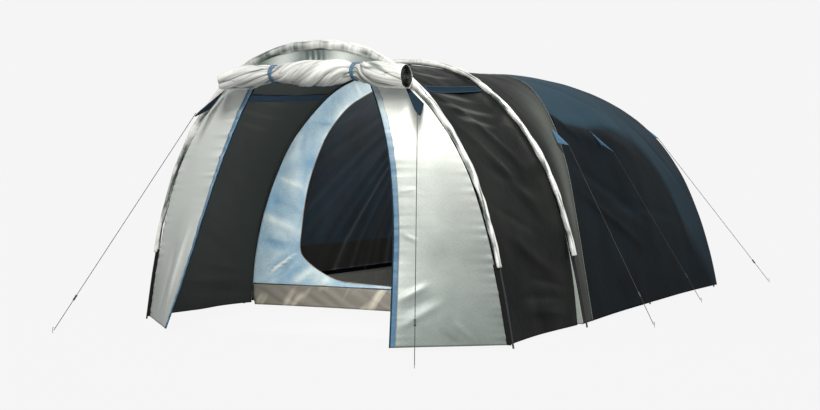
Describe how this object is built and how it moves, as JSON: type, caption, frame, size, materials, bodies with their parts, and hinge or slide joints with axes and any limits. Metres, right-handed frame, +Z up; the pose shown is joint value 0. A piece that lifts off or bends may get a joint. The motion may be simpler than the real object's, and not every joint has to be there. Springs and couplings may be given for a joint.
{
  "type": "tunnel tent",
  "caption": "Pitched four-person tunnel tent: four arched poles, open porch with silver wings and a rolled-up door, hung inner tent, groundsheet and guy lines.",
  "frame": {"origin": "on the ground, under the middle of the tent's own box, without its guy lines and pegs", "axes": "+Z up from the ground; -Y is the front, where the porch doorway faces; +X to the right as seen from the front"},
  "size_m": [3.838, 6.138, 1.974],
  "materials": {
    "silver_fabric": "silver coated polyester, satin",
    "charcoal_fabric": "coated polyester, satin",
    "navy_fabric": "coated polyester, satin",
    "blue_binding": "matt woven tape",
    "navy_tape": "matt woven tape",
    "light_blue_fabric": "breathable nylon, matt",
    "cabin_fabric": "breathable nylon, matt",
    "groundsheet_fabric": "coated polyethylene weave, satin",
    "pole": "glass fibre rod, smooth",
    "guy_line": "braided cord, matt",
    "plastic": "moulded, matt",
    "peg_steel": "plated steel"
  },
  "bodies": {
    "tent": {"front_pole": "pole", "front_sleeve": "silver_fabric", "middle_pole": "pole", "middle_sleeve": "silver_fabric", "bedroom_pole": "pole", "bedroom_sleeve": "navy_fabric", "rear_pole": "pole", "rear_sleeve": "navy_fabric", "porch_canopy": "charcoal_fabric", "grey_canopy": "charcoal_fabric", "bedroom_canopy": "navy_fabric", "rear_wall": "navy_fabric", "left_wing": "silver_fabric", "left_door_binding": "blue_binding", "right_wing": "silver_fabric", "right_door_binding": "blue_binding", "porch_header": "silver_fabric", "door_roll": "silver_fabric", "door_tie_left": "blue_binding", "door_tie_right": "blue_binding", "front_band": "navy_tape", "roof_strip_left": "navy_tape", "roof_strip_right": "navy_tape", "inner_front": "light_blue_fabric", "groundsheet": "groundsheet_fabric", "inner_cabin": "cabin_fabric", "front_left_tab": "navy_tape", "front_left_line": "guy_line", "front_left_peg": "peg_steel", "front_right_tab": "navy_tape", "front_right_line": "guy_line", "front_right_peg": "peg_steel", "side_left_tab": "blue_binding", "side_left_line": "guy_line", "side_left_peg": "peg_steel", "side_right_tab": "blue_binding", "side_right_line": "guy_line", "side_right_peg": "peg_steel", "mid_left_tab": "navy_fabric", "mid_left_line": "guy_line", "mid_left_peg": "peg_steel", "mid_right_tab": "navy_fabric", "mid_right_line": "guy_line", "mid_right_peg": "peg_steel", "rear_left_tab": "navy_fabric", "rear_left_line": "guy_line", "rear_left_peg": "peg_steel", "rear_right_tab": "navy_fabric", "rear_right_line": "guy_line", "rear_right_peg": "peg_steel"},
    "front_left_runner": {"front_left_runner": "plastic"},
    "front_right_runner": {"front_right_runner": "plastic"},
    "side_left_runner": {"side_left_runner": "plastic"},
    "side_right_runner": {"side_right_runner": "plastic"},
    "mid_left_runner": {"mid_left_runner": "plastic"},
    "mid_right_runner": {"mid_right_runner": "plastic"},
    "rear_left_runner": {"rear_left_runner": "plastic"},
    "rear_right_runner": {"rear_right_runner": "plastic"},
    "left_zip_pull": {"left_zip_pull": "plastic"},
    "right_zip_pull": {"right_zip_pull": "plastic"}
  },
  "joints": [
    {"name": "front_left_runner_slide", "type": "slide", "parent": "tent", "child": "front_left_runner", "axis": [0.3529, 0.4204, 0.8359], "range_m": [-0.14, 0.6]},
    {"name": "front_right_runner_slide", "type": "slide", "parent": "tent", "child": "front_right_runner", "axis": [-0.2537, 0.4593, 0.8513], "range_m": [-0.14, 0.6]},
    {"name": "side_left_runner_slide", "type": "slide", "parent": "tent", "child": "side_left_runner", "axis": [0.5065, 0.1749, 0.8443], "range_m": [-0.14, 0.6]},
    {"name": "side_right_runner_slide", "type": "slide", "parent": "tent", "child": "side_right_runner", "axis": [-0.5065, 0.1749, 0.8443], "range_m": [-0.14, 0.6]},
    {"name": "mid_left_runner_slide", "type": "slide", "parent": "tent", "child": "mid_left_runner", "axis": [0.4109, -0.3218, 0.853], "range_m": [-0.14, 0.6]},
    {"name": "mid_right_runner_slide", "type": "slide", "parent": "tent", "child": "mid_right_runner", "axis": [-0.4109, -0.3218, 0.853], "range_m": [-0.14, 0.6]},
    {"name": "rear_left_runner_slide", "type": "slide", "parent": "tent", "child": "rear_left_runner", "axis": [0.503, -0.3768, 0.7778], "range_m": [-0.14, 0.6]},
    {"name": "rear_right_runner_slide", "type": "slide", "parent": "tent", "child": "rear_right_runner", "axis": [-0.503, -0.3768, 0.7778], "range_m": [-0.14, 0.6]},
    {"name": "left_zip_pull_swing", "type": "hinge", "parent": "tent", "child": "left_zip_pull", "pos_m": [-0.505, -2.09443, 1.716], "axis": [1, 0, 0], "range_deg": [-25, 80]},
    {"name": "right_zip_pull_swing", "type": "hinge", "parent": "tent", "child": "right_zip_pull", "pos_m": [0.505, -2.09443, 1.716], "axis": [1, 0, 0], "range_deg": [-25, 80]}
  ]
}
